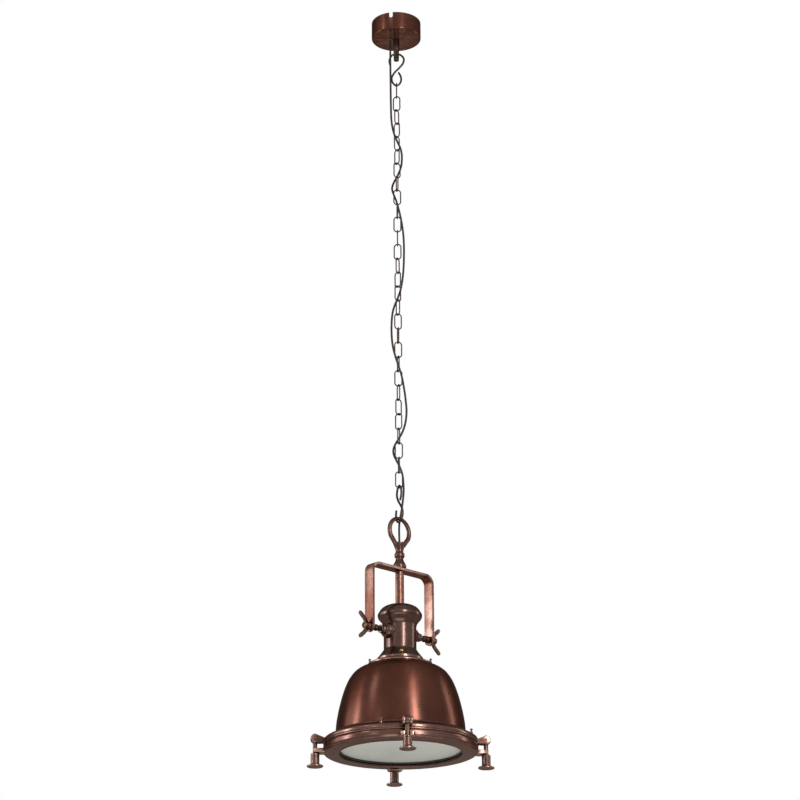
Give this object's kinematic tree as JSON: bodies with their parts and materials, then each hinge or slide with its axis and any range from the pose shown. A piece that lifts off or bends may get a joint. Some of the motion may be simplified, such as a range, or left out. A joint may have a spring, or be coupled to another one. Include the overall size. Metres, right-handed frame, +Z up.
{
  "type": "hanging lantern",
  "caption": "Domed ship's lantern with a frosted glass in a clamped bezel, hung by a flat bail, an eye and hooks on a link chain from a ceiling cup.",
  "frame": {"origin": "centre of the ceiling strap's top face, on the axis that everything hangs from", "axes": "+Z up into the ceiling, -Y towards the viewer, +X to the viewer's right"},
  "size_m": [0.3378, 0.3378, 1.5116],
  "materials": {
    "galvanised_steel": "satin",
    "copper_lacquer": "brushed antique copper under lacquer",
    "cast_copper": "antique copper, polished casting",
    "polished_copper": "polished antique copper",
    "dark_bronze": "dark bronze, rubbed on the edges",
    "clamp_bronze": "antique copper, worn",
    "brass_screw": "bright",
    "lead_sheath": "matt black",
    "seal_rubber": "matt dark grey",
    "terminal_plastic": "matt",
    "porcelain": "glazed",
    "frosted_glass": "frosted",
    "bulb_glass": "opal"
  },
  "bodies": {
    "ceiling": {"ceiling_strap": "galvanised_steel", "ceiling_cup": "copper_lacquer", "hook_stem": "dark_bronze", "stem_nut": "galvanised_steel", "lead_bush": "seal_rubber", "terminal_block": "terminal_plastic"},
    "chain": {"upper_hook": "dark_bronze", "lower_hook": "dark_bronze", "lead_upper": "lead_sheath", "chain_links_01_03": "dark_bronze", "chain_links_04_06": "dark_bronze", "chain_links_07_09": "dark_bronze", "chain_links_10_12": "dark_bronze", "chain_links_13_15": "dark_bronze", "chain_links_16_18": "dark_bronze", "chain_links_19_21": "dark_bronze", "chain_links_22_24": "dark_bronze", "chain_links_25_27": "dark_bronze", "chain_links_28_29": "dark_bronze"},
    "lamp": {"eye_bolt": "polished_copper", "bail": "polished_copper", "down_tube": "polished_copper", "tube_nut": "galvanised_steel", "neck_cap": "cast_copper", "earth_screw": "brass_screw", "pivot_stud_near": "dark_bronze", "pivot_stud_far": "dark_bronze", "top_flange": "copper_lacquer", "flange_nib_left": "dark_bronze", "flange_nib_right": "dark_bronze", "shade": "copper_lacquer", "rim_ring": "cast_copper", "rim_gasket": "seal_rubber", "bezel": "cast_copper", "lens_gasket": "seal_rubber", "lens": "frosted_glass", "lamp_holder": "porcelain", "holder_nut": "galvanised_steel", "bulb": "bulb_glass", "lead_lower": "lead_sheath", "clamp_pin_1": "clamp_bronze", "clamp_pin_2": "clamp_bronze", "clamp_pin_3": "clamp_bronze", "clamp_pin_4": "clamp_bronze", "rim_screw_1": "dark_bronze", "rim_screw_2": "dark_bronze", "rim_screw_3": "dark_bronze", "rim_screw_4": "dark_bronze"},
    "swing_bolt_1": {"swing_bolt_1": "clamp_bronze"},
    "thumb_nut_1": {"thumb_nut_1": "clamp_bronze"},
    "swing_bolt_2": {"swing_bolt_2": "clamp_bronze"},
    "thumb_nut_2": {"thumb_nut_2": "clamp_bronze"},
    "swing_bolt_3": {"swing_bolt_3": "clamp_bronze"},
    "thumb_nut_3": {"thumb_nut_3": "clamp_bronze"},
    "swing_bolt_4": {"swing_bolt_4": "clamp_bronze"},
    "thumb_nut_4": {"thumb_nut_4": "clamp_bronze"},
    "wing_nut_near": {"wing_nut_near": "dark_bronze"},
    "wing_nut_far": {"wing_nut_far": "dark_bronze"}
  },
  "joints": [
    {"name": "chain_swing", "type": "hinge", "parent": "ceiling", "child": "chain", "pos_m": [0, 0, -0.0676], "axis": [1, 0, 0], "range_deg": [-25, 25], "deforming": ["lead_upper"]},
    {"name": "lamp_sway", "type": "hinge", "parent": "chain", "child": "lamp", "pos_m": [0, 0, -1.0426], "axis": [0.7314, 0.682, 0], "range_deg": [-20, 20], "deforming": ["lead_lower"]},
    {"name": "bolt_swing_1", "type": "hinge", "parent": "lamp", "child": "swing_bolt_1", "pos_m": [0.01211, -0.15392, -1.46], "axis": [-0.9969, -0.0785, 0], "range_deg": [0, 100]},
    {"name": "bolt_swing_2", "type": "hinge", "parent": "lamp", "child": "swing_bolt_2", "pos_m": [0.15392, 0.01211, -1.46], "axis": [0.0785, -0.9969, 0], "range_deg": [0, 100]},
    {"name": "bolt_swing_3", "type": "hinge", "parent": "lamp", "child": "swing_bolt_3", "pos_m": [-0.01211, 0.15392, -1.46], "axis": [0.9969, 0.0785, 0], "range_deg": [0, 100]},
    {"name": "bolt_swing_4", "type": "hinge", "parent": "lamp", "child": "swing_bolt_4", "pos_m": [-0.15392, -0.01211, -1.46], "axis": [-0.0785, 0.9969, 0], "range_deg": [0, 100]},
    {"name": "thumb_nut_turn_1", "type": "hinge", "parent": "swing_bolt_1", "child": "thumb_nut_1", "pos_m": [0.01211, -0.15392, -1.4986], "axis": [0, 0, -1], "continuous": true},
    {"name": "thumb_nut_turn_2", "type": "hinge", "parent": "swing_bolt_2", "child": "thumb_nut_2", "pos_m": [0.15392, 0.01211, -1.4986], "axis": [0, 0, -1], "continuous": true},
    {"name": "thumb_nut_turn_3", "type": "hinge", "parent": "swing_bolt_3", "child": "thumb_nut_3", "pos_m": [-0.01211, 0.15392, -1.4986], "axis": [0, 0, -1], "continuous": true},
    {"name": "thumb_nut_turn_4", "type": "hinge", "parent": "swing_bolt_4", "child": "thumb_nut_4", "pos_m": [-0.15392, -0.01211, -1.4986], "axis": [0, 0, -1], "continuous": true},
    {"name": "wing_nut_near_turn", "type": "hinge", "parent": "lamp", "child": "wing_nut_near", "pos_m": [-0.05851, -0.05456, -1.2621], "axis": [-0.7314, -0.682, 0], "continuous": true},
    {"name": "wing_nut_far_turn", "type": "hinge", "parent": "lamp", "child": "wing_nut_far", "pos_m": [0.05851, 0.05456, -1.2621], "axis": [0.7314, 0.682, 0], "continuous": true}
  ]
}
